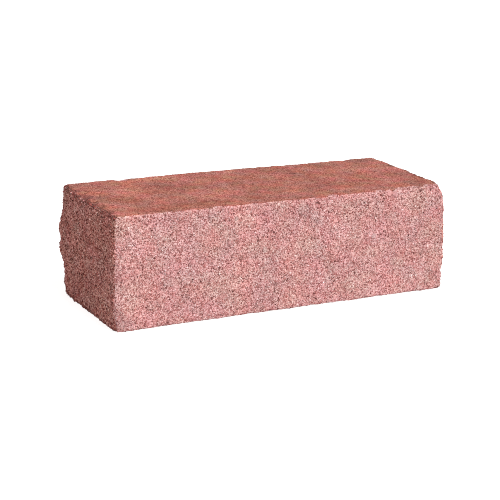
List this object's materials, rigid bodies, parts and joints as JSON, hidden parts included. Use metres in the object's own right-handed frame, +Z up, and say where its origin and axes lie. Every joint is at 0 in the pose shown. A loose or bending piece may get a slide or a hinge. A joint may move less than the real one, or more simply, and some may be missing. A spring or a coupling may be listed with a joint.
{
  "type": "split-face walling block",
  "caption": "Solid red concrete walling block with rough broken sides that show crushed stones, and flat moulded bed faces above and below.",
  "frame": {"origin": "centre of the bottom bed face", "axes": "+X along the block's length, +Y from the front through the depth to the back, +Z up"},
  "size_m": [0.3, 0.12, 0.09],
  "materials": {
    "red_concrete": "matt red pigmented cement and sand; flat and close-grained on the bed faces, rough and gritty on the broken sides",
    "pale_stone": "matt broken face of a pale quartz stone dusted with red cement",
    "rose_stone": "matt broken face of a rose granite stone",
    "grey_stone": "matt broken face of a warm grey stone",
    "dark_stone": "matt broken face of a dark brown stone"
  },
  "bodies": {
    "root": {"cement_matrix": "red_concrete", "back_stone_01": "grey_stone", "back_stone_02": "grey_stone", "back_stone_03": "dark_stone", "back_stone_04": "grey_stone", "back_stone_05": "rose_stone", "back_stone_06": "pale_stone", "back_stone_07": "rose_stone", "back_stone_08": "pale_stone", "back_stone_09": "dark_stone", "back_stone_10": "pale_stone", "back_stone_11": "rose_stone", "back_stone_12": "dark_stone", "back_stone_13": "grey_stone", "back_stone_14": "pale_stone", "front_stone_01": "dark_stone", "front_stone_02": "rose_stone", "front_stone_03": "pale_stone", "front_stone_04": "rose_stone", "front_stone_05": "rose_stone", "front_stone_06": "grey_stone", "front_stone_07": "grey_stone", "front_stone_08": "rose_stone", "front_stone_09": "rose_stone", "front_stone_10": "pale_stone", "front_stone_11": "grey_stone", "front_stone_12": "rose_stone", "front_stone_13": "rose_stone", "front_stone_14": "rose_stone", "left_end_stone_01": "pale_stone", "left_end_stone_02": "rose_stone", "left_end_stone_03": "dark_stone", "left_end_stone_04": "grey_stone", "left_end_stone_05": "rose_stone", "left_end_stone_06": "pale_stone", "right_end_stone_01": "grey_stone", "right_end_stone_02": "rose_stone", "right_end_stone_03": "dark_stone", "right_end_stone_04": "pale_stone", "right_end_stone_05": "rose_stone", "right_end_stone_06": "grey_stone"}
  },
  "joints": []
}
